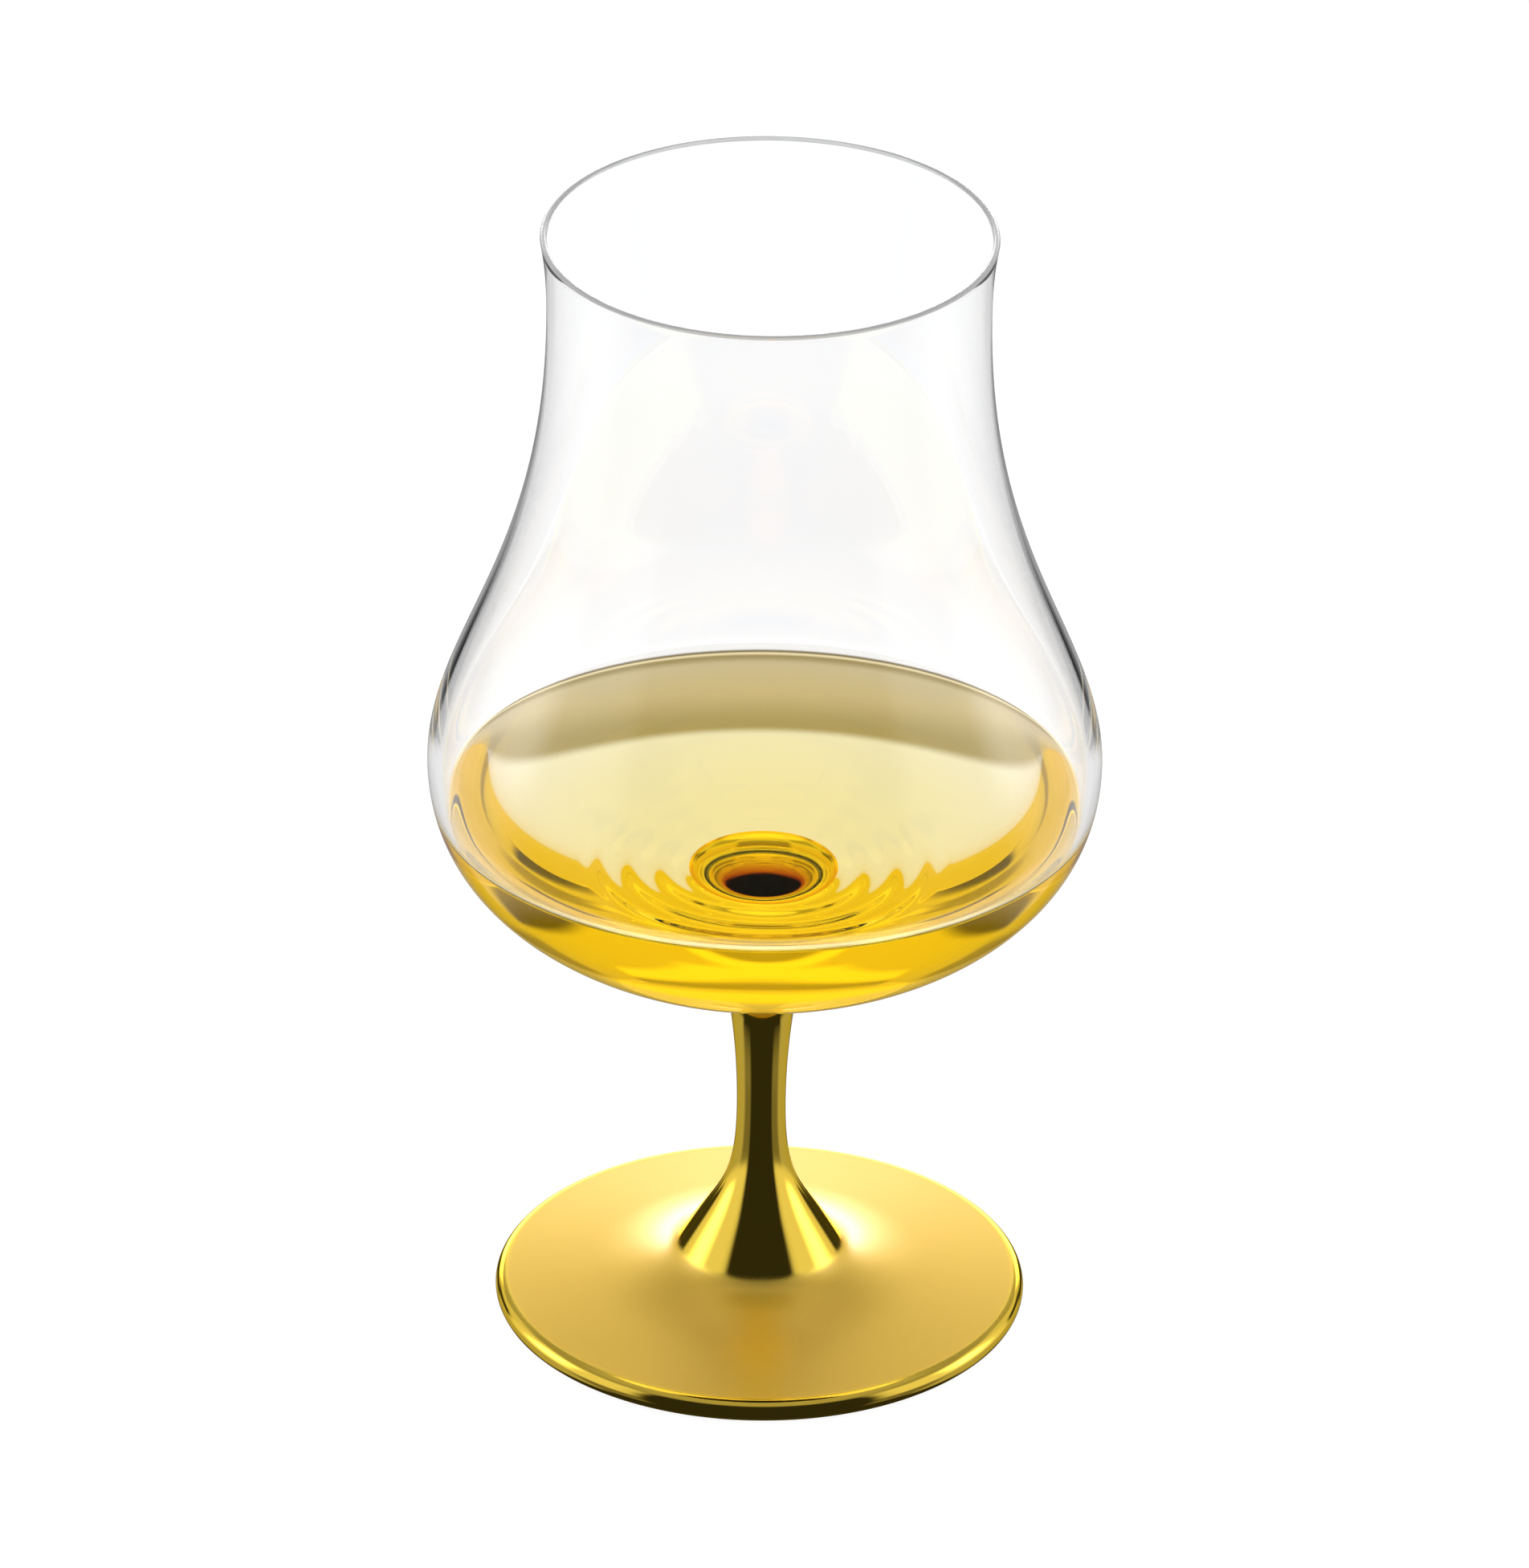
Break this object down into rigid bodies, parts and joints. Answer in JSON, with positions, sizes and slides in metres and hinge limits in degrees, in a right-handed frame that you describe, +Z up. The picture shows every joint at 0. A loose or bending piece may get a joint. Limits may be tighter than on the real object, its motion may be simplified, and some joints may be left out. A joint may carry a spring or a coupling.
{
  "type": "stemmed whisky glass",
  "caption": "Tulip-shaped clear glass bowl holding a pour of whisky, on a slender flared stem and a round foot with a gold mirror coat.",
  "frame": {"origin": "centre of the foot, on the surface that the glass stands on", "axes": "+Z up along the axis that the glass is turned about, from the foot to the rim; +X and +Y are alike"},
  "size_m": [0.0816, 0.0816, 0.145],
  "materials": {
    "clear_glass": "fire-polished clear glass",
    "gold_mirror": "bright gold mirror coat",
    "whisky": "clear golden liquid"
  },
  "bodies": {
    "root": {"bowl": "clear_glass", "stem_core": "clear_glass", "foot_core": "clear_glass", "stem_gold_coat": "gold_mirror", "foot_gold_coat": "gold_mirror", "whisky": "whisky"}
  },
  "joints": []
}
